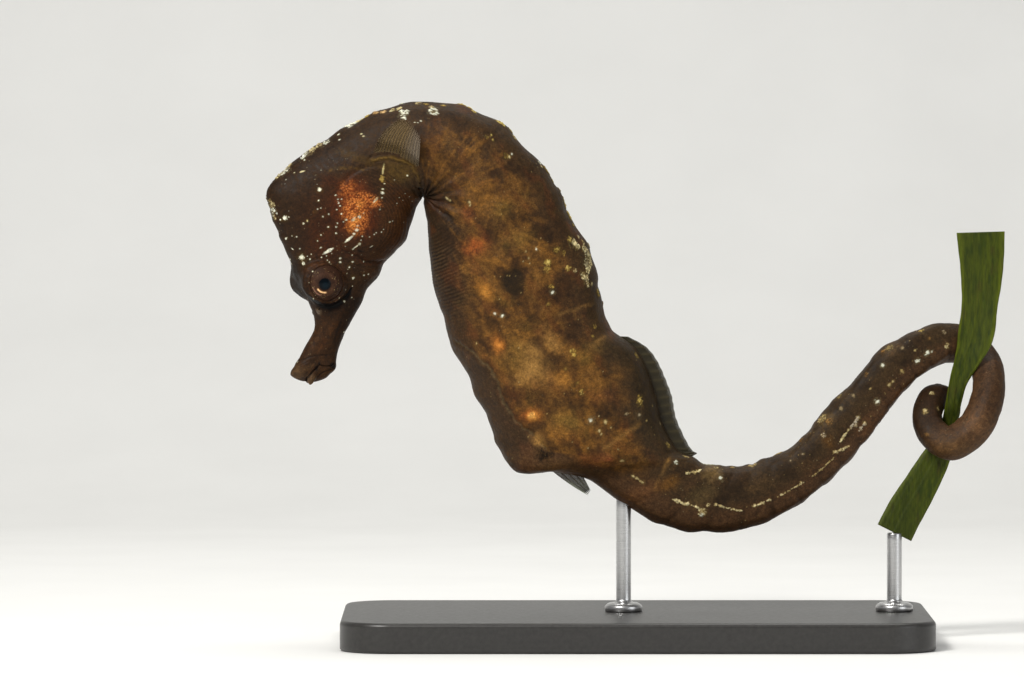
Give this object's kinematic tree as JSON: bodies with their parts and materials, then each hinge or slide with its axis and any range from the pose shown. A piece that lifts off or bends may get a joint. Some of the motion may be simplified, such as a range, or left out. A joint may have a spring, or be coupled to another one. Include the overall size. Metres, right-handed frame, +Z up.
{
  "type": "life-size Knysna seahorse display model",
  "caption": "Life-size seahorse model, head bowed and tail wound round a cut length of seagrass blade, carried by short rods on a flat display base.",
  "frame": {"origin": "middle of the stand base's underside, which is under the middle of the whole model", "axes": "+X from the head towards the coiled tail, +Y towards the animal's right side, +Z up"},
  "size_m": [0.059, 0.027, 0.0432],
  "materials": {
    "skin": "moist, finely ringed skin, dark reddish brown mottled with olive, ochre and cream",
    "eye": "wet gloss, brown dome with a gold ring round a dark pupil",
    "fin": "thin translucent membrane over rays",
    "leaf": "satin green leaf with fine lengthwise veins",
    "stand": "satin black",
    "rod": "fine brushed"
  },
  "bodies": {
    "root": {"lower_jaw": "skin", "snout": "skin", "head": "skin", "neck": "skin", "trunk_front": "skin", "trunk_rear": "skin", "tail_base": "skin", "tail_middle": "skin", "tail_rear": "skin", "tail_coil": "skin", "tail_end": "skin", "eye_left": "eye", "eye_right": "eye", "pectoral_fin_left": "fin", "pectoral_fin_right": "fin", "dorsal_fin": "fin", "anal_fin": "fin", "perch_blade": "leaf", "stand_base": "stand", "stand_rod_body": "rod", "stand_rod_perch": "rod"}
  },
  "joints": []
}
